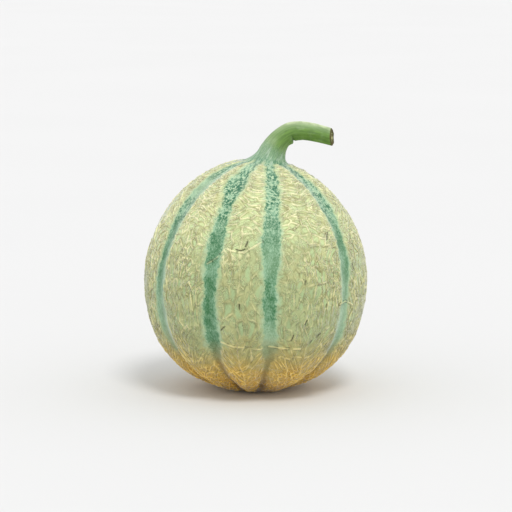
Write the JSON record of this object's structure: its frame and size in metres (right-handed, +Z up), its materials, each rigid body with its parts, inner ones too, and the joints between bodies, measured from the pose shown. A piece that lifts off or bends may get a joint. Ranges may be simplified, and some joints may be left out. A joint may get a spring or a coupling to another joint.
{
  "type": "melon",
  "caption": "Round ribbed melon with a raised cork net between its green sutures, a short bent stem with a cut end, and a small flat spot that it rests on.",
  "frame": {"origin": "middle of the small flat spot that the fruit rests on", "axes": "+Z up; -Y is the side that the picture shows, and the stem bends towards +X"},
  "size_m": [0.1305, 0.1314, 0.1573],
  "materials": {
    "rind": "matt cream cork net over pale green skin, blue-green stripes along the sutures, orange-yellow low down",
    "stem": "smooth fresh green stalk with a grey bloom on its neck and a dry brown rim at the cut end"
  },
  "bodies": {
    "root": {"fruit": "rind", "stem": "stem"}
  },
  "joints": []
}
